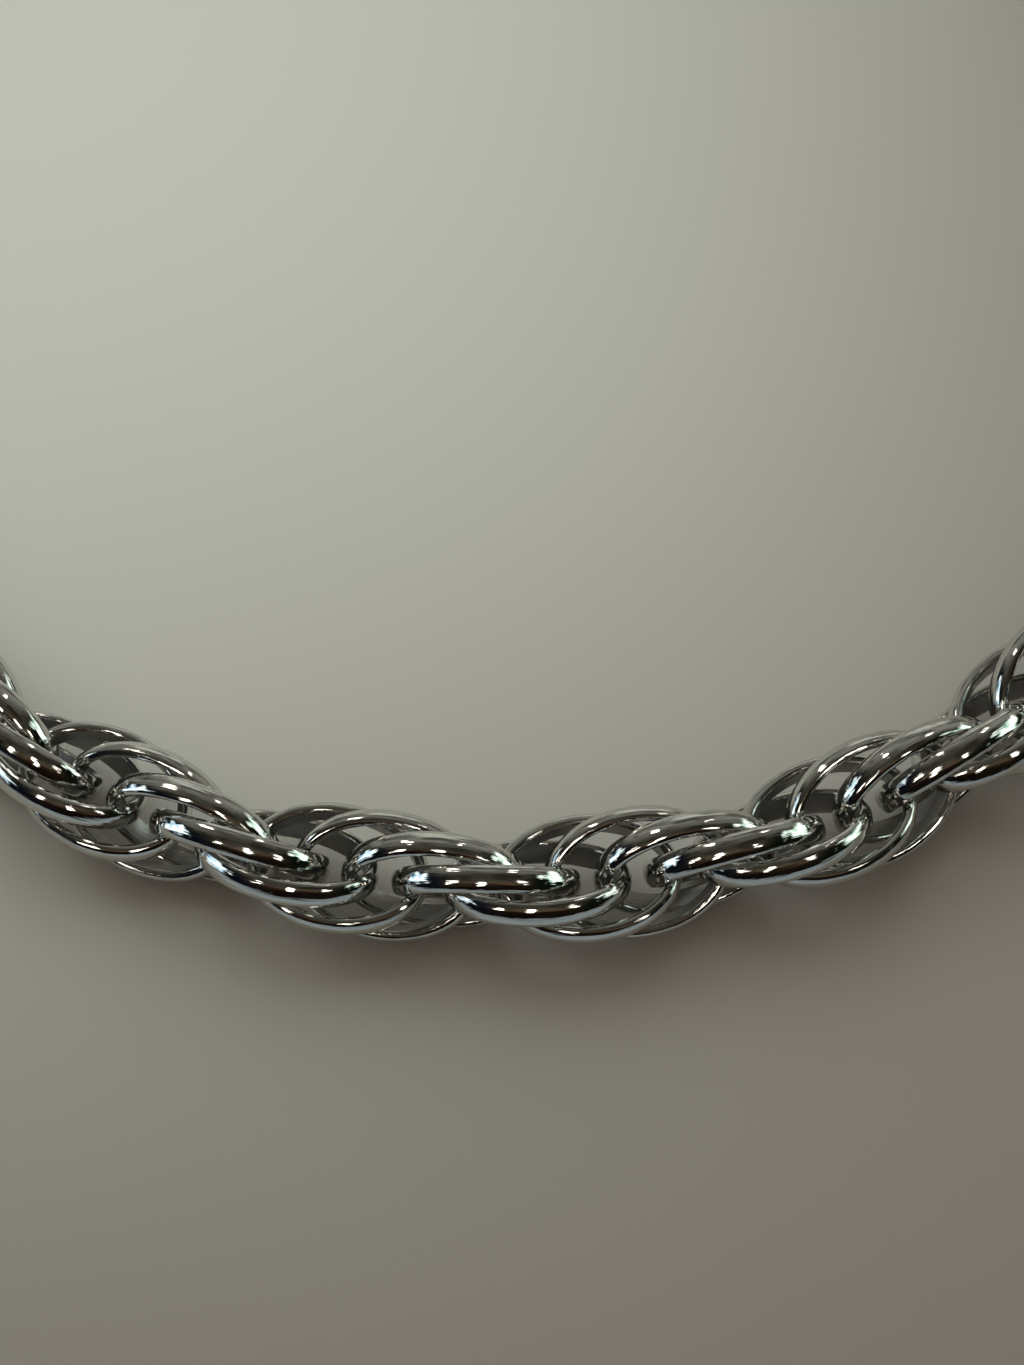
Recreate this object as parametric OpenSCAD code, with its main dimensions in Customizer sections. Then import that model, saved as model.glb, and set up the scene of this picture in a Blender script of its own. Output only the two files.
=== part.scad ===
/* [Necklace] */
// Whole length round the middle line of the chain, clasp included
necklace_len = 450; // [420:5:480]
// Wanted distance from one link to the next along the chain
link_step = 4.19; // [4.15:0.01:4.2]
// Where the clasp lies on the loop, seen from above, 90 being straight behind
clasp_place = 87.5; // [60:0.5:120]

/* [Links] */
// Outer length of an oval link
link_l = 16; // [15.9:0.1:16.2]
// Outer width of an oval link
link_w = 11.4; // [11.3:0.1:12]
// Thickness of the link's band, from its flat inside to its domed outside
band_t = 1.2; // [1.1:0.05:1.2]
// Width of the link's band, from rim to rim
band_w = 2.35; // [1.9:0.05:2.4]

/* [Rope lay] */
// Half turns that the rope makes from its first link to its last
half_turns = 20; // [19:1:20]
// How far links that stand on edge are drawn together by the lay, in degrees
roll_bunch = 1.5; // [0:0.5:3]

/* [Clasp] */
// Outer length of the plain oval clasp ring
clasp_l = 18; // [16:0.5:22]
// Outer width of the clasp ring
clasp_w = 12; // [11:0.5:13]
// Thickness of the clasp ring's round wire
clasp_wire = 1.7; // [1.5:0.1:1.8]
// How far the clasp hangs below the chain's middle line
clasp_drop = 0.2; // [0:0.1:0.4]

/* [Hidden] */

// Flats round each oval link, gathered towards its two ends by up to this angle
oval_steps = 12;
end_gather = 13;

// Corners of the D-shaped band, from the flat inside over the dome
// columns: outward as a share of band_t, sideways as a share of band_w
OUTWARD = 0;
SIDEWAYS = 1;
// The crown is a narrow flat, this share of the width to either side
CROWN = 0.16;
band_corners = [
    [-0.50, -0.36],
    [-0.12, -0.50],
    [0.50, -CROWN],
    [0.50, CROWN],
    [-0.12, 0.50],
    [-0.50, 0.36]
];
corner_count = len(band_corners);

// Half-length and half-width of the oval that the middle of the band follows
oval_a = (link_l - band_t) / 2;
oval_b = (link_w - band_t) / 2;

// The loop lies as a circle, and links that stand on edge touch the surface with their crowns
loop_r = necklace_len / (2 * PI);
middle_z = norm([link_w / 2, CROWN * band_w]);
// Puts the origin under the middle of the necklace's outer box
loop_centre = [-0.13, -0.24, 0];

// The clasp takes the place of links between the two end links, and its wire passes each of them
// between that link's inside and the tip of the next link, a little nearer to the tip
tip_bias = 0.25;
clasp_reach = (clasp_l - clasp_wire) / 2;
hook_reach = (link_l - band_t - link_step) / 2 - tip_bias;
clasp_angle = 2 * (clasp_reach + hook_reach) / loop_r * 180 / PI;
chain_len = necklace_len * (1 - clasp_angle / 360);
link_count = round(chain_len / link_step) + 1;
link_angle = (360 - clasp_angle) / (link_count - 1);
left_count = ceil(link_count / 2);

// Distance of the clasp's straight middle line from the centre of the loop
clasp_line_r = norm([loop_r, hook_reach]) * cos(clasp_angle / 2 - atan(hook_reach / loop_r));

// How far link i is rolled about the chain's middle line, 0 standing on edge
function even_roll(i) = i * half_turns * 180 / (link_count - 1);
function roll(i) = even_roll(i) - roll_bunch * sin(2 * even_roll(i));

// Place of link i on the loop, seen from above
function place(i) = clasp_place + clasp_angle / 2 + i * link_angle;

// Directions of link i: outward from the loop, along the chain, across the link and out of its plane
function outward(i) = [cos(place(i)), sin(place(i)), 0];
function along(i) = [-sin(place(i)), cos(place(i)), 0];
function across(i) = [0, 0, cos(roll(i))] + outward(i) * sin(roll(i));
function facing(i) = cross(along(i), across(i));

// Angle round the oval at each of its steps
function oval_turn(step) =
    let (even_turn = step * 360 / oval_steps)
    even_turn - end_gather * sin(2 * even_turn);

// Point of a link in its own plane: u is the angle round the oval, reach is outward from the band's middle
function oval_normal(u) = [oval_b * cos(u), oval_a * sin(u)] / norm([oval_b * cos(u), oval_a * sin(u)]);
function oval_point(u, reach) = [oval_a * cos(u), oval_b * sin(u)] + oval_normal(u) * reach;

// All corners of link i, one band section after another round the oval
function link_points(i) =
    let (
        centre = loop_centre + outward(i) * loop_r + [0, 0, middle_z],
        x_dir = along(i),
        y_dir = across(i),
        z_dir = facing(i)
    )
    [
        for (step = [0 : oval_steps - 1])
            for (corner = band_corners)
                let (flat_point = oval_point(oval_turn(step), corner[OUTWARD] * band_t))
                centre + x_dir * flat_point[0] + y_dir * flat_point[1]
                    + z_dir * corner[SIDEWAYS] * band_w
    ];

// Number of one corner in the list of a whole strand
function corner_at(link, step, corner) =
    (link * oval_steps + step % oval_steps) * corner_count + corner % corner_count;

// Two triangles for each flat between neighbouring sections
function link_faces(link) = [
    for (step = [0 : oval_steps - 1])
        for (corner = [0 : corner_count - 1])
            let (
                a = corner_at(link, step, corner),
                b = corner_at(link, step, corner + 1),
                c = corner_at(link, step + 1, corner + 1),
                d = corner_at(link, step + 1, corner)
            )
            each [[a, b, c], [a, c, d]]
];

// A run of separate interlocked links, from link first_link on
module strand(first_link, count) {
    polyhedron(
        points = [for (i = [0 : count - 1]) each link_points(first_link + i)],
        faces = [for (i = [0 : count - 1]) each link_faces(i)],
        convexity = 20
    );
}

module chain_left() {
    color("silver")
        strand(0, left_count);
}

module chain_right() {
    color("silver")
        strand(left_count, link_count - left_count);
}

// One straight side of the clasp ring and the half round end that follows it
module clasp_half() {
    end_r = (clasp_w - clasp_wire) / 2;
    side_l = clasp_l - clasp_w;
    translate([end_r, 0, 0])
        rotate([90, 0, 0])
            cylinder(d = clasp_wire, h = side_l, center = true, $fn = 48);
    translate([0, side_l / 2, 0])
        rotate_extrude(angle = 180, $fn = 96)
            translate([end_r, 0])
                circle(d = clasp_wire, $fn = 48);
}

module clasp() {
    color("silver")
        translate(loop_centre + [0, 0, middle_z - clasp_drop])
            rotate([0, 0, clasp_place])
                translate([clasp_line_r, 0, 0])
                    union() {
                        clasp_half();
                        rotate([0, 0, 180])
                            clasp_half();
                    }
}

chain_left();
chain_right();
clasp();
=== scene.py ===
"""Looks of the link chain necklace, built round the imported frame. All sizes are in metres."""

import logging
import math
from dataclasses import dataclass, field
from enum import Enum

import bpy
import numpy as np
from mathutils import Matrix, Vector


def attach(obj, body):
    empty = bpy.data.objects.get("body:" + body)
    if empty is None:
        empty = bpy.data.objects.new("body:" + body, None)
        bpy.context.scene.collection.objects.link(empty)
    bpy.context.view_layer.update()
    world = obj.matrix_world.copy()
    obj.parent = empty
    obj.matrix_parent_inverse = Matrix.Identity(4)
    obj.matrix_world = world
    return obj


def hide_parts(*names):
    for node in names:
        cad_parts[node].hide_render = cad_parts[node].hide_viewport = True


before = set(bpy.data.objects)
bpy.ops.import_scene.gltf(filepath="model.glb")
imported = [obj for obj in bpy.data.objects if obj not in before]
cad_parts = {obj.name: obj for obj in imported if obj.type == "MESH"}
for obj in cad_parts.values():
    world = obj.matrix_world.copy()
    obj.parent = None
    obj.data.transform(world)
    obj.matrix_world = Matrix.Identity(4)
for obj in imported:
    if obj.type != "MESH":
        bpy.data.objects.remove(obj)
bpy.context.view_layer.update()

LOG = logging.getLogger("necklace")
MM = 0.001
Colour = tuple[float, float, float]
Point = tuple[float, float, float]


class Half(Enum):
    """The two halves of the chain, by the name of the node that each one replaces."""

    LEFT = "chain_left"
    RIGHT = "chain_right"


class Value:
    """A number that varies over a surface: one node socket that takes part in expressions."""

    def __init__(self, graph: "Graph", socket: bpy.types.NodeSocket) -> None:
        """Wraps an output socket.

        Args:
            graph: the node graph that the socket belongs to.
            socket: the output that carries the number.
        """
        self.graph = graph
        self.socket = socket

    def maths(self, operation: str, first: "Value | float", second: "Value | float") -> "Value":
        """Adds one Math node.

        Args:
            operation: the node's operation.
            first: its first operand.
            second: its second operand.

        Returns:
            The node's result.
        """
        node = self.graph.node("ShaderNodeMath", {"operation": operation}, {0: first, 1: second})
        return Value(self.graph, node.outputs[0])

    def __add__(self, other: "Value | float") -> "Value":
        """Sum."""
        return self.maths("ADD", self, other)

    def __radd__(self, other: float) -> "Value":
        """Sum, with the number first."""
        return self.maths("ADD", other, self)

    def __sub__(self, other: "Value | float") -> "Value":
        """Difference."""
        return self.maths("SUBTRACT", self, other)

    def __rsub__(self, other: float) -> "Value":
        """Difference, with the number first."""
        return self.maths("SUBTRACT", other, self)

    def __mul__(self, other: "Value | float") -> "Value":
        """Product."""
        return self.maths("MULTIPLY", self, other)

    def __rmul__(self, other: float) -> "Value":
        """Product, with the number first."""
        return self.maths("MULTIPLY", other, self)


class Graph:
    """A node tree and the one method that adds nodes to it."""

    # Numbers of the colour sockets of a Mix node: the two that go in and the one that comes out
    MIX_COLOURS = (6, 7)
    MIX_RESULT = 2

    def __init__(self, tree: bpy.types.NodeTree) -> None:
        """Empties a node tree and takes it over."""
        self.tree = tree
        tree.nodes.clear()

    def node(
        self, kind: str, settings: dict | None = None, inputs: dict | None = None
    ) -> bpy.types.Node:
        """Adds a node.

        Args:
            kind: the node's type.
            settings: what is set on the node first; "stops" holds a ramp's positions and colours.
            inputs: values, or sockets to link, by the input's name or number.

        Returns:
            The new node.
        """
        made = self.tree.nodes.new(kind)
        for name, setting in (settings or {}).items():
            if name == "stops":
                self.set_stops(made.color_ramp, setting)
            else:
                setattr(made, name, setting)
        for name, given in (inputs or {}).items():
            source = given.socket if isinstance(given, Value) else given
            if isinstance(source, bpy.types.NodeSocket):
                self.tree.links.new(source, made.inputs[name])
            else:
                made.inputs[name].default_value = source
        return made

    @staticmethod
    def set_stops(ramp: bpy.types.ColorRamp, stops: tuple[tuple[float, Colour], ...]) -> None:
        """Gives a colour ramp its stops.

        Args:
            ramp: the ramp to fill.
            stops: positions from 0 to 1, with the colour at each.
        """
        while len(ramp.elements) < len(stops):
            ramp.elements.new(0.5)
        for element, (position, colour) in zip(ramp.elements, stops):
            element.position = position
            element.color = (*colour, 1.0)

    def attribute(self, name: str) -> bpy.types.Node:
        """Reads a named attribute of the mesh."""
        return self.node("ShaderNodeAttribute", {"attribute_name": name})

    def noise(self, place: bpy.types.NodeSocket, scale: float, detail: float) -> Value:
        """Adds a noise texture.

        Args:
            place: the coordinates that it is read at.
            scale: how many of its cells fit in one unit of the coordinates.
            detail: how many finer octaves it has.

        Returns:
            The noise, from 0 to 1.
        """
        inputs = {"Vector": place, "Scale": scale, "Detail": detail}
        return Value(self, self.node("ShaderNodeTexNoise", None, inputs).outputs["Fac"])

    def ramp(self, value: Value, low: float, high: float) -> Value:
        """Stretches the range from low to high over 0 to 1, with soft ends.

        Args:
            value: what is stretched.
            low: what becomes 0.
            high: what becomes 1.

        Returns:
            The stretched number, held between 0 and 1.
        """
        inputs = {"Value": value, "From Min": low, "From Max": high}
        settings = {"interpolation_type": "SMOOTHSTEP"}
        return Value(self, self.node("ShaderNodeMapRange", settings, inputs).outputs["Result"])

    def blend(
        self,
        factor: Value,
        first: "bpy.types.NodeSocket | Colour",
        second: "bpy.types.NodeSocket | Colour",
    ) -> bpy.types.NodeSocket:
        """Mixes two colours.

        Args:
            factor: 0 gives the first colour and 1 the second.
            first: a colour, or a socket that carries one.
            second: a colour, or a socket that carries one.

        Returns:
            The mixed colour's socket.
        """
        sides = [(*side, 1.0) if isinstance(side, tuple) else side for side in (first, second)]
        inputs = {"Factor": factor, **dict(zip(self.MIX_COLOURS, sides))}
        return self.node("ShaderNodeMix", {"data_type": "RGBA"}, inputs).outputs[self.MIX_RESULT]


@dataclass(frozen=True)
class PolishedSteel:
    """Mirror-polished steel that is left satin where the polishing wheel doesn't reach, with the satin
    insides of the links painted darker as painted shade between the links.
    """

    name: str
    bright: Colour = (0.63, 0.63, 0.595)
    # Satin finish of the flat insides, painted darker than the polished steel as painted shade in the
    # recesses between links
    satin_and_shade: Colour = (0.38, 0.37, 0.36)
    haze: Colour = (0.50, 0.49, 0.47)
    bright_roughness: float = 0.04
    haze_roughness: float = 0.06
    satin_roughness: float = 0.24
    haze_scale: float = 330.0
    haze_detail: float = 4.0
    haze_range: tuple[float, float] = (0.45, 0.75)
    haze_share: float = 0.5
    wave_scale: float = 520.0
    wave_detail: float = 1.0
    wave_height: float = 0.016 * MM
    line_detail: float = 3.0
    line_height: float = 0.05 * MM

    def material(self) -> bpy.types.Material:
        """Builds the material.

        Returns:
            Steel whose satin share follows the mesh's "inside" attribute and is painted darker as
            painted shade, and whose fine polishing lines follow its "grain" attribute.
        """
        steel = bpy.data.materials.new(self.name)
        steel.use_nodes = True
        graph = Graph(steel.node_tree)
        place = graph.node("ShaderNodeTexCoord").outputs["Object"]
        inside = Value(graph, graph.attribute("inside").outputs["Fac"])
        grain = graph.attribute("grain").outputs["Vector"]
        haze = graph.ramp(graph.noise(place, self.haze_scale, self.haze_detail), *self.haze_range)
        lines = graph.noise(grain, 1.0, self.line_detail)
        wave = graph.noise(place, self.wave_scale, self.wave_detail)
        polished = graph.blend(haze * self.haze_share, self.bright, self.haze)
        # The flat insides take the darker satin colour: a real satin finish plus painted shade between the
        # links
        colour = graph.blend(inside, polished, self.satin_and_shade)
        roughness = self.bright_roughness + haze * self.haze_roughness + inside * self.satin_roughness
        relief = wave * (self.wave_height / MM) + lines * (self.line_height / MM)
        bump = graph.node("ShaderNodeBump", None, {"Height": relief, "Strength": 1.0, "Distance": MM})
        shader = graph.node("ShaderNodeBsdfPrincipled", None, {
            "Base Color": colour,
            "Metallic": 1.0,
            "Roughness": roughness,
            "Normal": bump.outputs["Normal"],
        })
        graph.node("ShaderNodeOutputMaterial", None, {"Surface": shader.outputs["BSDF"]})
        return steel


@dataclass(frozen=True)
class PaleFloor:
    """Plain matt paper under the necklace."""

    name: str = "pale_floor"
    colour: Colour = (0.53, 0.49, 0.43)
    roughness: float = 1.0
    gloss: float = 0.0

    def material(self) -> bpy.types.Material:
        """Builds the material.

        Returns:
            Matt paper of one plain tone.
        """
        paper = bpy.data.materials.new(self.name)
        paper.use_nodes = True
        graph = Graph(paper.node_tree)
        inputs = {
            "Base Color": (*self.colour, 1.0),
            "Roughness": self.roughness,
            "Specular IOR Level": self.gloss,
        }
        shader = graph.node("ShaderNodeBsdfPrincipled", None, inputs)
        graph.node("ShaderNodeOutputMaterial", None, {"Surface": shader.outputs["BSDF"]})
        return paper


@dataclass(frozen=True)
class RopeLay:
    """How the links lie on the loop, worked out as the part's source does."""

    necklace_len: float = 450 * MM
    link_step: float = 4.19 * MM
    clasp_place: float = math.radians(87.5)
    link_l: float = 16 * MM
    link_w: float = 11.4 * MM
    band_t: float = 1.2 * MM
    band_w: float = 2.35 * MM
    crown: float = 0.16
    half_turns: int = 20
    roll_bunch: float = math.radians(1.5)
    clasp_l: float = 18 * MM
    clasp_w: float = 12 * MM
    clasp_wire: float = 1.7 * MM
    clasp_drop: float = 0.2 * MM
    tip_bias: float = 0.25 * MM
    loop_x: float = -0.13 * MM
    loop_y: float = -0.24 * MM

    @property
    def loop_r(self) -> float:
        """Radius of the loop's middle line."""
        return self.necklace_len / (2 * math.pi)

    @property
    def middle_z(self) -> float:
        """Height of the chain's middle line."""
        return math.hypot(self.link_w / 2, self.crown * self.band_w)

    @property
    def hook_reach(self) -> float:
        """From the clasp's end to the middle of the end link."""
        return (self.link_l - self.band_t - self.link_step) / 2 - self.tip_bias

    @property
    def clasp_angle(self) -> float:
        """Angle of the loop between the two end links."""
        return 2 * ((self.clasp_l - self.clasp_wire) / 2 + self.hook_reach) / self.loop_r

    @property
    def link_count(self) -> int:
        """Number of links in the whole chain."""
        chain_len = self.necklace_len * (1 - self.clasp_angle / (2 * math.pi))
        return round(chain_len / self.link_step) + 1

    @property
    def left_count(self) -> int:
        """Number of links in the left half."""
        return math.ceil(self.link_count / 2)

    @property
    def centre(self) -> np.ndarray:
        """Centre of the loop, at the height of the chain's middle line."""
        return np.array([self.loop_x, self.loop_y, self.middle_z])

    def roll(self, link: int) -> float:
        """Angle by which a link is rolled about the middle line, 0 standing on edge."""
        even = link * self.half_turns * math.pi / (self.link_count - 1)
        return even - self.roll_bunch * math.sin(2 * even)

    def link_frame(self, link: int) -> tuple[np.ndarray, np.ndarray]:
        """Where one link lies.

        Args:
            link: its number, counted from the clasp.

        Returns:
            The link's middle, and its directions along the chain, across the link and out of its
            plane as the rows of a matrix.
        """
        step = (2 * math.pi - self.clasp_angle) / (self.link_count - 1)
        place = self.clasp_place + self.clasp_angle / 2 + link * step
        outward = np.array([math.cos(place), math.sin(place), 0.0])
        along = np.array([-math.sin(place), math.cos(place), 0.0])
        roll = self.roll(link)
        across = np.array([0.0, 0.0, math.cos(roll)]) + outward * math.sin(roll)
        axes = np.array([along, across, np.cross(along, across)])
        return self.centre + outward * self.loop_r, axes

    def clasp_frame(self) -> tuple[np.ndarray, np.ndarray]:
        """Where the clasp ring lies.

        Returns:
            The ring's middle, and its long, short and upright directions as the rows of a matrix.
        """
        turn = self.clasp_angle / 2 - math.atan(self.hook_reach / self.loop_r)
        reach = math.hypot(self.loop_r, self.hook_reach) * math.cos(turn)
        outward = np.array([math.cos(self.clasp_place), math.sin(self.clasp_place), 0.0])
        upright = np.array([0.0, 0.0, 1.0])
        middle = self.centre + outward * reach - upright * self.clasp_drop
        return middle, np.array([np.cross(outward, upright), outward, upright])


@dataclass(frozen=True)
class Ring:
    """A closed ring, as sections round its outline with the points of each section.

    Each point has its place, whether it is on a flat inside, and its place among the polishing lines.
    """

    points: np.ndarray
    inside: np.ndarray
    grain: np.ndarray


@dataclass(frozen=True)
class LinkBand:
    """The D-shaped band that an oval link is bent from."""

    width: float
    thickness: float
    # From the middle of the flat, as shares of the width: the start of the rim, and a point just before it
    flat_half: float = 0.36
    flat_edge_half: float = 0.335
    # Outward from the middle of the thickness, as a share of it
    widest_at: float = -0.12
    rim_steps: int = 4
    dome_steps: int = 14

    def section(self) -> tuple[np.ndarray, np.ndarray]:
        """Outline of the section.

        Returns:
            Points as outward and sideways places, once round from the flat over the dome and back,
            and for each point whether it is on the flat inside.
        """
        bottom = -0.5 * self.thickness
        widest = self.widest_at * self.thickness
        rim_r = (widest - bottom, (0.5 - self.flat_half) * self.width)
        flat = [(bottom, -side * self.width) for side in (self.flat_edge_half, self.flat_half)]
        rim = [
            (widest - rim_r[0] * math.cos(turn), -self.flat_half * self.width - rim_r[1] * math.sin(turn))
            for turn in np.linspace(0, math.pi / 2, self.rim_steps + 1)[1:]
        ]
        dome = [
            (widest + (0.5 * self.thickness - widest) * math.sin(turn), -0.5 * self.width * math.cos(turn))
            for turn in np.linspace(0, math.pi, self.dome_steps + 1)[1:-1]
        ]
        near = flat + rim
        far = [(outward, -sideways) for outward, sideways in reversed(near)]
        outline = np.array(near + dome + far)
        return outline, np.isclose(outline[:, 0], bottom).astype(float)


@dataclass(frozen=True)
class OvalLink:
    """One link: a band bent to an oval, with its flat side inwards."""

    length: float
    width: float
    band: LinkBand
    steps: int = 72
    lines_round: float = 16.0
    lines_along: float = 1.2

    def ring(self) -> Ring:
        """Builds the link in its own plane, with its length along X.

        Returns:
            The link's ring, satin on its flat inside.
        """
        # The flat inside is marked for the satin finish and for the painted shade of the recesses between
        # links
        section, satin_and_shade = self.band.section()
        half_l = (self.length - self.band.thickness) / 2
        half_w = (self.width - self.band.thickness) / 2
        turn = np.arange(self.steps) * 2 * math.pi / self.steps
        middle = np.stack([half_l * np.cos(turn), half_w * np.sin(turn)], axis=1)
        normal = np.stack([half_w * np.cos(turn), half_l * np.sin(turn)], axis=1)
        normal /= np.linalg.norm(normal, axis=1, keepdims=True)
        flat = middle[:, None, :] + normal[:, None, :] * section[None, :, :1]
        side = np.broadcast_to(section[None, :, 1:], (self.steps, len(section), 1))
        points = np.concatenate([flat, side], axis=2)
        edge = np.arange(len(section)) / len(section)
        round_turn = np.broadcast_to(turn[:, None], (self.steps, len(section)))
        grain = np.stack([
            np.cos(round_turn) * self.lines_along,
            np.sin(round_turn) * self.lines_along,
            np.broadcast_to(edge[None, :] * self.lines_round, round_turn.shape),
        ], axis=2)
        return Ring(points, np.broadcast_to(satin_and_shade[None, :], round_turn.shape), grain)


@dataclass(frozen=True)
class ClaspRing:
    """The plain oval ring of round wire that joins the two ends of the chain."""

    length: float
    width: float
    wire: float
    end_steps: int = 48
    side_steps: int = 6
    wire_steps: int = 28
    lines_round: float = 40.0
    lines_along: float = 1.2

    def ring(self) -> Ring:
        """Builds the ring in its own plane, with its length along X.

        Returns:
            The clasp's ring, polished all over.
        """
        end_r = (self.width - self.wire) / 2
        side_half = (self.length - self.width) / 2
        half_end = np.linspace(-math.pi / 2, math.pi / 2, self.end_steps + 1)
        slide = np.linspace(side_half, -side_half, self.side_steps + 1)[1:-1]
        right = [(side_half + end_r * math.cos(t), end_r * math.sin(t), t) for t in half_end]
        top = [(x, end_r, math.pi / 2) for x in slide]
        left = [(-x, -y, t + math.pi) for x, y, t in right]
        bottom = [(-x, -y, t + math.pi) for x, y, t in top]
        outline = np.array(right + top + left + bottom)
        normal = np.stack([np.cos(outline[:, 2]), np.sin(outline[:, 2])], axis=1)
        turn = np.arange(self.wire_steps) * 2 * math.pi / self.wire_steps
        reach = self.wire / 2 * np.cos(turn)
        flat = outline[:, None, :2] + normal[:, None, :] * reach[None, :, None]
        shape = (len(outline), self.wire_steps)
        side = np.broadcast_to((self.wire / 2 * np.sin(turn))[None, :, None], (*shape, 1))
        share = np.linspace(0, 2 * math.pi, len(outline), endpoint=False)[:, None]
        grain = np.stack([
            np.broadcast_to(np.cos(share) * self.lines_along, shape),
            np.broadcast_to(np.sin(share) * self.lines_along, shape),
            np.broadcast_to((turn / (2 * math.pi) * self.lines_round)[None, :], shape),
        ], axis=2)
        return Ring(np.concatenate([flat, side], axis=2), np.zeros(shape), grain)


@dataclass
class RingMesh:
    """Gathers placed rings into one mesh."""

    name: str
    points: list[np.ndarray] = field(default_factory=list)
    inside: list[np.ndarray] = field(default_factory=list)
    grain: list[np.ndarray] = field(default_factory=list)
    faces: list[np.ndarray] = field(default_factory=list)
    count: int = 0

    def add(self, ring: Ring, middle: np.ndarray, axes: np.ndarray, shift: float) -> None:
        """Places one ring.

        Args:
            ring: the ring in its own plane.
            middle: where its middle goes.
            axes: its three directions, as the rows of a matrix.
            shift: moves its polishing lines, so that no two rings have the same.
        """
        steps, sides = ring.points.shape[:2]
        self.points.append((ring.points @ axes + middle).reshape(-1, 3))
        self.inside.append(ring.inside.reshape(-1))
        self.grain.append((ring.grain + shift).reshape(-1, 3))
        here, there = np.arange(steps)[:, None], (np.arange(steps)[:, None] + 1) % steps
        corner, beside = np.arange(sides)[None, :], (np.arange(sides)[None, :] + 1) % sides
        quads = [
            section * sides + point
            for section, point in ((here, corner), (here, beside), (there, beside), (there, corner))
        ]
        grid = np.stack([np.broadcast_to(quad, (steps, sides)) for quad in quads], axis=2)
        self.faces.append(grid.reshape(-1, 4)[:, ::-1] + self.count)
        self.count += steps * sides

    def piece(self, material: bpy.types.Material) -> bpy.types.Object:
        """Makes the object.

        Args:
            material: its finish.

        Returns:
            The object, at the origin, with its place in its mesh.
        """
        mesh = bpy.data.meshes.new(self.name)
        faces = np.concatenate(self.faces)
        mesh.from_pydata(np.concatenate(self.points).tolist(), [], faces.tolist())
        inside = np.concatenate(self.inside)
        grain = np.concatenate(self.grain).ravel()
        mesh.attributes.new("inside", "FLOAT", "POINT").data.foreach_set("value", inside)
        mesh.attributes.new("grain", "FLOAT_VECTOR", "POINT").data.foreach_set("vector", grain)
        mesh.shade_smooth()
        mesh.materials.append(material)
        made = bpy.data.objects.new(self.name, mesh)
        bpy.context.scene.collection.objects.link(made)
        return made


@dataclass(frozen=True)
class ChainStrand:
    """One half of the rope chain, a run of interlocked links.

    Polishing has worn the outside of each link, so the smooth links stay inside the faceted ones.
    """

    half: Half
    lay: RopeLay
    finish: PolishedSteel
    polish: float = 0.06 * MM

    def links(self) -> range:
        """Picks its links.

        Returns:
            Their numbers, counted from the clasp.
        """
        if self.half is Half.LEFT:
            return range(self.lay.left_count)
        return range(self.lay.left_count, self.lay.link_count)

    def build(self) -> bpy.types.Object:
        """Builds and dresses the strand.

        Returns:
            The piece that stands for the half's node.
        """
        band = LinkBand(self.lay.band_w, self.lay.band_t - self.polish)
        length, width = (size - 2 * self.polish for size in (self.lay.link_l, self.lay.link_w))
        ring = OvalLink(length, width, band).ring()
        rings = RingMesh(f"{self.half.value}_links")
        for link in self.links():
            rings.add(ring, *self.lay.link_frame(link), shift=float(link))
        piece = rings.piece(self.finish.material())
        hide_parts(self.half.value)
        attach(piece, "root")
        return piece


@dataclass(frozen=True)
class Clasp:
    """The closed oval ring behind, which joins the two ends."""

    lay: RopeLay
    finish: PolishedSteel

    def build(self) -> bpy.types.Object:
        """Builds and dresses the clasp.

        Returns:
            The piece that stands for the clasp's node.
        """
        ring = ClaspRing(self.lay.clasp_l, self.lay.clasp_w, self.lay.clasp_wire).ring()
        rings = RingMesh("clasp_ring")
        rings.add(ring, *self.lay.clasp_frame(), shift=0.0)
        piece = rings.piece(self.finish.material())
        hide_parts("clasp")
        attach(piece, "root")
        return piece


@dataclass(frozen=True)
class Veil:
    """A thin cloth over a lamp, which frays its edge and clouds its face."""

    seed: float
    fray: float = 0.5
    edge: float = 0.07
    cells: float = 3.0
    detail: float = 3.0
    opening: float = 0.36
    thick_to_thin: tuple[float, float] = (0.42, 0.58)
    thick: Colour = (1.0, 1.0, 1.0)
    thin: Colour = (1.0, 1.0, 1.0)

    def hang(self, light: bpy.types.Light) -> None:
        """Puts the cloth over a lamp.

        Args:
            light: the lamp's data.
        """
        light.use_nodes = True
        graph = Graph(light.node_tree)
        face = graph.node("ShaderNodeNewGeometry").outputs["Parametric"]
        own_place = (self.seed, 0.0, 0.0)
        centre = (0.5, 0.5, 0.0)
        shifted = graph.node("ShaderNodeVectorMath", {"operation": "ADD"}, {0: face, 1: own_place})
        away = graph.node("ShaderNodeVectorMath", {"operation": "DISTANCE"}, {0: face, 1: centre})
        cloud = graph.noise(shifted.outputs["Vector"], self.cells, self.detail)
        reach = self.opening - Value(graph, away.outputs["Value"]) + (cloud - 0.5) * self.fray
        shown = graph.ramp(reach, 0.0, self.edge)
        colour = graph.blend(graph.ramp(cloud, *self.thick_to_thin), self.thick, self.thin)
        shine = graph.node("ShaderNodeEmission", None, {"Color": colour, "Strength": shown})
        graph.node("ShaderNodeOutputLight", None, {"Surface": shine.outputs["Emission"]})


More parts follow.
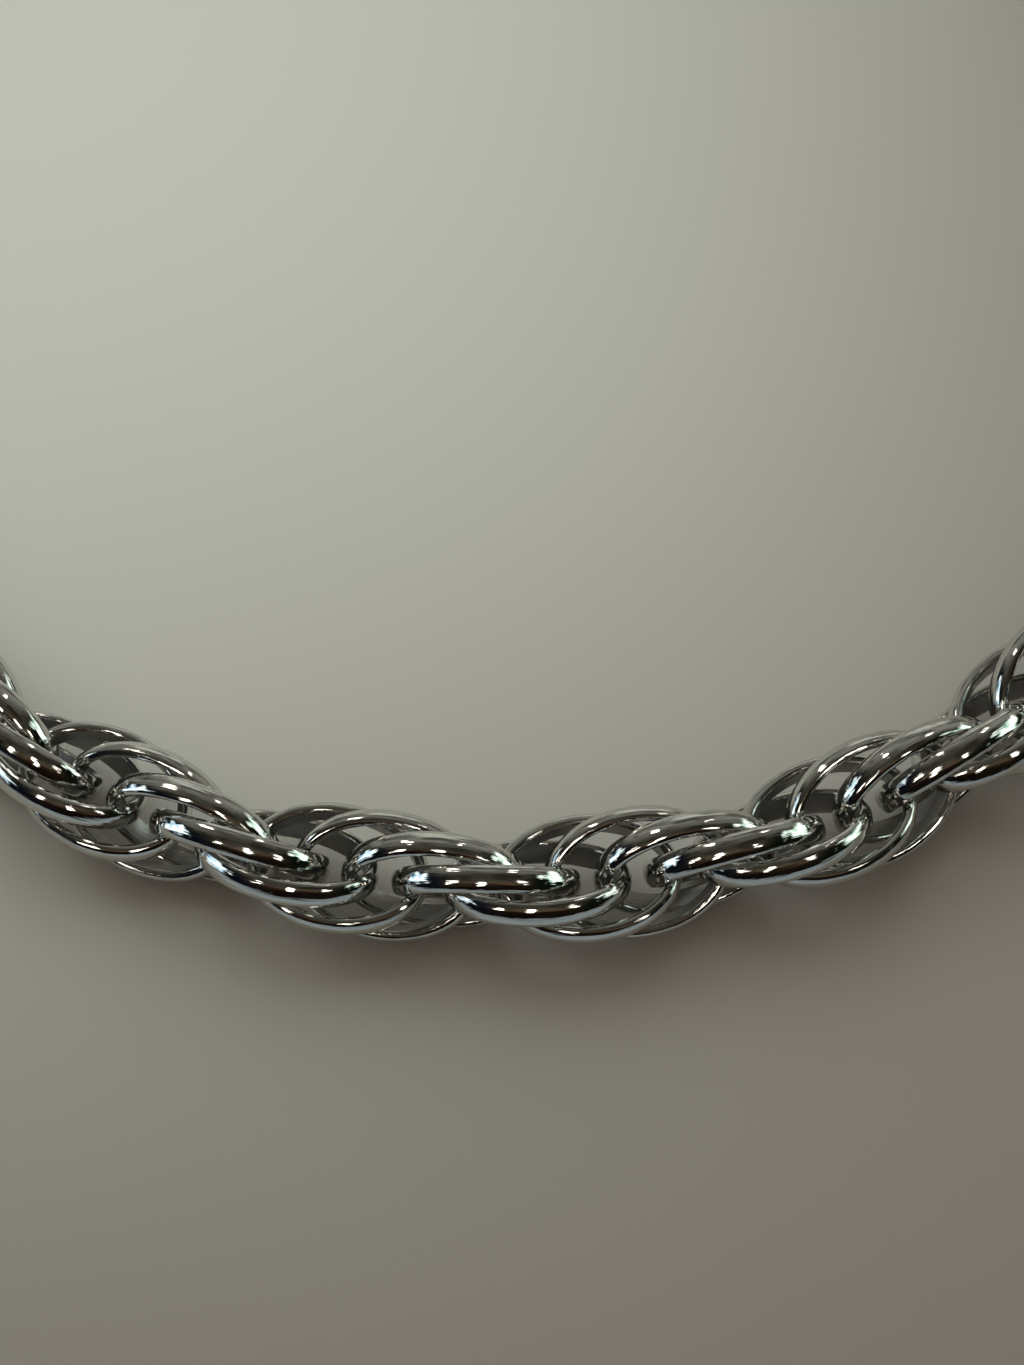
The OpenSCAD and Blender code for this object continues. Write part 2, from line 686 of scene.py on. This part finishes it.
@dataclass(frozen=True)
class Lamp:
    """A flat lamp that faces a point: either the steel mirrors it or it lights the floor."""

    name: str
    place: Point
    aim: Point
    size: tuple[float, float]
    glow: float
    colour: Colour = (1.0, 1.0, 1.0)
    mirrored: bool = True
    veil: Veil | None = None

    def build(self) -> None:
        """Makes the lamp. Its glow is the brightness of its face, whatever its size."""
        light = bpy.data.lights.new(self.name, "AREA")
        light.shape = "RECTANGLE"
        light.size, light.size_y = self.size
        light.energy = self.glow * math.pi * self.size[0] * self.size[1]
        light.color = self.colour
        if self.veil:
            self.veil.hang(light)
        made = bpy.data.objects.new(self.name, light)
        bpy.context.scene.collection.objects.link(made)
        made.location = self.place
        made.rotation_euler = (Vector(self.aim) - Vector(self.place)).to_track_quat("-Z", "Y").to_euler()
        made.visible_glossy = self.mirrored
        made.visible_diffuse = not self.mirrored
        made.visible_camera = False


@dataclass(frozen=True)
class Sky:
    """Even light from above, which the floor sees and the steel doesn't mirror."""

    strength: float = 0.60
    spread: float = math.radians(120)
    colour: Colour = (1.0, 0.92, 0.86)

    def build(self) -> None:
        """Makes the light, straight above and the same over the whole floor."""
        light = bpy.data.lights.new("floor_sky", "SUN")
        light.energy = self.strength
        light.angle = self.spread
        light.color = self.colour
        made = bpy.data.objects.new("floor_sky", light)
        bpy.context.scene.collection.objects.link(made)
        made.visible_glossy = False
        made.visible_camera = False


@dataclass(frozen=True)
class Spot:
    """A small warm lamp overhead: its place, its two widths and how bright its face is."""

    x: float
    y: float
    across: float
    tall: float
    glow: float
    hung_at: float = 0.9
    colour: Colour = (1.0, 0.94, 0.86)
    first_seed: float = 10.0

    def lamp(self, number: int, aim: Point) -> Lamp:
        """Makes its lamp.

        Args:
            number: its number among the lamps overhead.
            aim: what it faces.

        Returns:
            The lamp, behind a veil of its own.
        """
        return Lamp(
            f"spot_{number}",
            place=(self.x, self.y, self.hung_at),
            aim=aim,
            size=(self.across, self.tall),
            glow=self.glow,
            colour=self.colour,
            veil=Veil(self.first_seed + number),
        )


@dataclass(frozen=True)
class Window:
    """A side window: where it stands and how far it spreads, in degrees seen from the necklace."""

    turn: float
    height: float
    across: float
    tall: float
    glow: float
    veil: Veil
    distance: float = 0.9

    def lamp(self, number: int, aim: Point) -> Lamp:
        """Makes its lamp.

        Args:
            number: its number among the windows.
            aim: what it faces, and what its angles are counted from.

        Returns:
            The lamp, behind the window's veil.
        """
        turn, height = math.radians(self.turn), math.radians(self.height)
        level = self.distance * math.cos(height)
        spread = (math.radians(self.across), math.radians(self.tall))
        return Lamp(
            f"window_{number}",
            place=(
                aim[0] + level * math.sin(turn),
                aim[1] + level * math.cos(turn),
                aim[2] + self.distance * math.sin(height),
            ),
            aim=aim,
            size=tuple(2 * self.distance * math.tan(angle / 2) for angle in spread),
            glow=self.glow,
            veil=self.veil,
        )


@dataclass(frozen=True)
class Room:
    """The dark, clouded room that the steel mirrors, and the plain wall that the camera sees."""

    # From the front of the room over its top to its back
    tones: tuple[tuple[float, Colour], ...] = (
        (0.00, (0.004, 0.003, 0.003)),
        (0.08, (0.007, 0.003, 0.002)),
        (0.15, (0.034, 0.017, 0.011)),
        (0.21, (0.115, 0.084, 0.050)),
        (0.30, (0.074, 0.064, 0.050)),
        (0.45, (0.046, 0.043, 0.033)),
        (0.60, (0.092, 0.091, 0.076)),
        (0.74, (0.172, 0.172, 0.149)),
        (0.86, (0.305, 0.299, 0.266)),
        (0.93, (0.200, 0.200, 0.180)),
        (0.97, (0.66, 0.66, 0.60)),
    )
    cloud: Colour = (0.012, 0.009, 0.006)
    cloud_cells: float = 2.8
    cloud_detail: float = 3.0
    cloud_range: tuple[float, float] = (0.44, 0.60)
    cloud_share: float = 0.65
    left: Colour = (0.004, 0.006, 0.010)
    right: Colour = (0.005, 0.007, 0.004)
    left_to_right: tuple[float, float] = (-0.2, 0.2)
    # The dark sides close in from this range, and less so towards the back
    side_range: tuple[float, float] = (0.02, 0.45)
    side_opening: float = 0.45
    wall: Colour = (0.146, 0.126, 0.100)

    def build(self) -> None:
        """Gives the scene the room as its world."""
        world = bpy.data.worlds.new("room")
        bpy.context.scene.world = world
        world.use_nodes = True
        graph = Graph(world.node_tree)
        place = graph.node("ShaderNodeTexCoord").outputs["Generated"]
        split = graph.node("ShaderNodeSeparateXYZ", None, {"Vector": place})
        across = Value(graph, split.outputs["X"])
        back = Value(graph, split.outputs["Y"]) * 0.5 + 0.5
        tone = graph.node("ShaderNodeValToRGB", {"stops": self.tones}, {"Fac": back}).outputs["Color"]
        noise = graph.noise(place, self.cloud_cells, self.cloud_detail)
        clouded = graph.blend(graph.ramp(noise, *self.cloud_range) * self.cloud_share, tone, self.cloud)
        sides = graph.blend(graph.ramp(across, *self.left_to_right), self.left, self.right)
        aside = graph.ramp(across * across - back * self.side_opening, *self.side_range)
        mirrored = graph.blend(aside, clouded, sides)
        seen = graph.node("ShaderNodeLightPath").outputs["Is Camera Ray"]
        shown = graph.blend(Value(graph, seen), mirrored, self.wall)
        shader = graph.node("ShaderNodeBackground", None, {"Color": shown})
        graph.node("ShaderNodeOutputWorld", None, {"Surface": shader.outputs["Background"]})


@dataclass(frozen=True)
class Studio:
    """The camera, the plain floor, the lamps and the room."""

    elevation: float = math.radians(65)
    aim: tuple[float, float] = (0.98 * MM, -50.87 * MM)
    distance: float = 213.2 * MM
    # Focal length and longer side of the picture, both in the photo's pixels
    lens_px: float = 2400.0
    frame_px: float = 1365.0
    sensor: float = 36.0
    clip: tuple[float, float] = (0.01, 100.0)
    floor_half: float = 30.0
    # The front of the necklace, which the lamps face
    front: Point = (0.0, -0.07, 0.0)
    spots: tuple[Spot, ...] = (
        Spot(-0.62, -0.66, across=0.17, tall=0.60, glow=7.0),
        Spot(-0.08, -0.76, across=0.18, tall=0.66, glow=8.0),
        Spot(0.62, -0.60, across=0.15, tall=0.44, glow=6.0),
        Spot(-0.46, 0.56, across=0.16, tall=0.50, glow=8.0),
        Spot(0.40, 0.62, across=0.12, tall=0.34, glow=6.0),
    )
    windows: tuple[Window, ...] = (
        Window(
            turn=-88.0,
            height=19.0,
            across=62.0,
            tall=44.0,
            glow=2.2,
            veil=Veil(1.0, 0.9, 0.12, 3.5, thick=(0.20, 0.42, 0.62), thin=(0.86, 0.97, 1.0)),
        ),
        Window(
            turn=78.0,
            height=21.0,
            across=66.0,
            tall=46.0,
            glow=2.1,
            veil=Veil(2.0, 0.9, 0.12, 3.5, thick=(0.30, 0.50, 0.38), thin=(0.86, 1.0, 0.92)),
        ),
    )
    # Low over the floor behind the left of the view
    floor_key: Lamp = Lamp(
        "floor_key",
        place=(-0.052, 0.028, 0.066),
        aim=(-0.052, 0.028, 0.0),
        size=(0.17, 0.17),
        glow=1.25,
        colour=(0.84, 0.98, 1.0),
        mirrored=False,
    )
    # Lies on the floor in front and faces up, for the pale lower edges of the links
    front_strip: Lamp = Lamp(
        "front_strip",
        place=(0.0, -0.215, 0.0006),
        aim=(0.0, -0.215, 1.0),
        size=(0.44, 0.26),
        glow=0.185,
        colour=(0.42, 0.76, 1.0),
    )

    def camera(self) -> None:
        """Places the camera at the photo's angle, aimed at the floor in the middle of the view."""
        data = bpy.data.cameras.new("photo_camera")
        data.sensor_width = self.sensor
        data.lens = self.lens_px / self.frame_px * self.sensor
        data.clip_start, data.clip_end = self.clip
        camera = bpy.data.objects.new("photo_camera", data)
        bpy.context.scene.collection.objects.link(camera)
        back = Vector((0.0, -math.cos(self.elevation), math.sin(self.elevation)))
        camera.location = Vector((*self.aim, 0.0)) + back * self.distance
        camera.rotation_euler = (-back).to_track_quat("-Z", "Y").to_euler()
        bpy.context.scene.camera = camera

    def floor(self) -> None:
        """Lays the floor."""
        half = self.floor_half
        corners = [(-half, -half, 0.0), (half, -half, 0.0), (half, half, 0.0), (-half, half, 0.0)]
        mesh = bpy.data.meshes.new("floor")
        mesh.from_pydata(corners, [], [tuple(range(len(corners)))])
        mesh.materials.append(PaleFloor().material())
        floor = bpy.data.objects.new("floor", mesh)
        bpy.context.scene.collection.objects.link(floor)

    def lamps(self) -> None:
        """Hangs the lamps: small ones overhead, a window at each side, and light for the floor."""
        for kind in (self.spots, self.windows):
            for number, light in enumerate(kind):
                light.lamp(number, self.front).build()
        self.floor_key.build()
        Sky().build()
        self.front_strip.build()

    def build(self) -> None:
        """Builds the whole studio."""
        self.camera()
        self.floor()
        self.lamps()
        Room().build()
        view = bpy.context.scene.view_settings
        view.view_transform = "Standard"
        view.look = "None"


def main() -> None:
    """Builds the necklace and its studio, and reports each piece."""
    logging.basicConfig(level=logging.INFO, format="%(message)s")
    Studio().build()
    lay = RopeLay()
    strands = [ChainStrand(half, lay, PolishedSteel(half.value)) for half in Half]
    for assembly in (*strands, Clasp(lay, PolishedSteel("clasp_steel"))):
        piece = assembly.build()
        LOG.info("%s: %d faces", piece.name, len(piece.data.polygons))


if __name__ == "__main__":
    main()
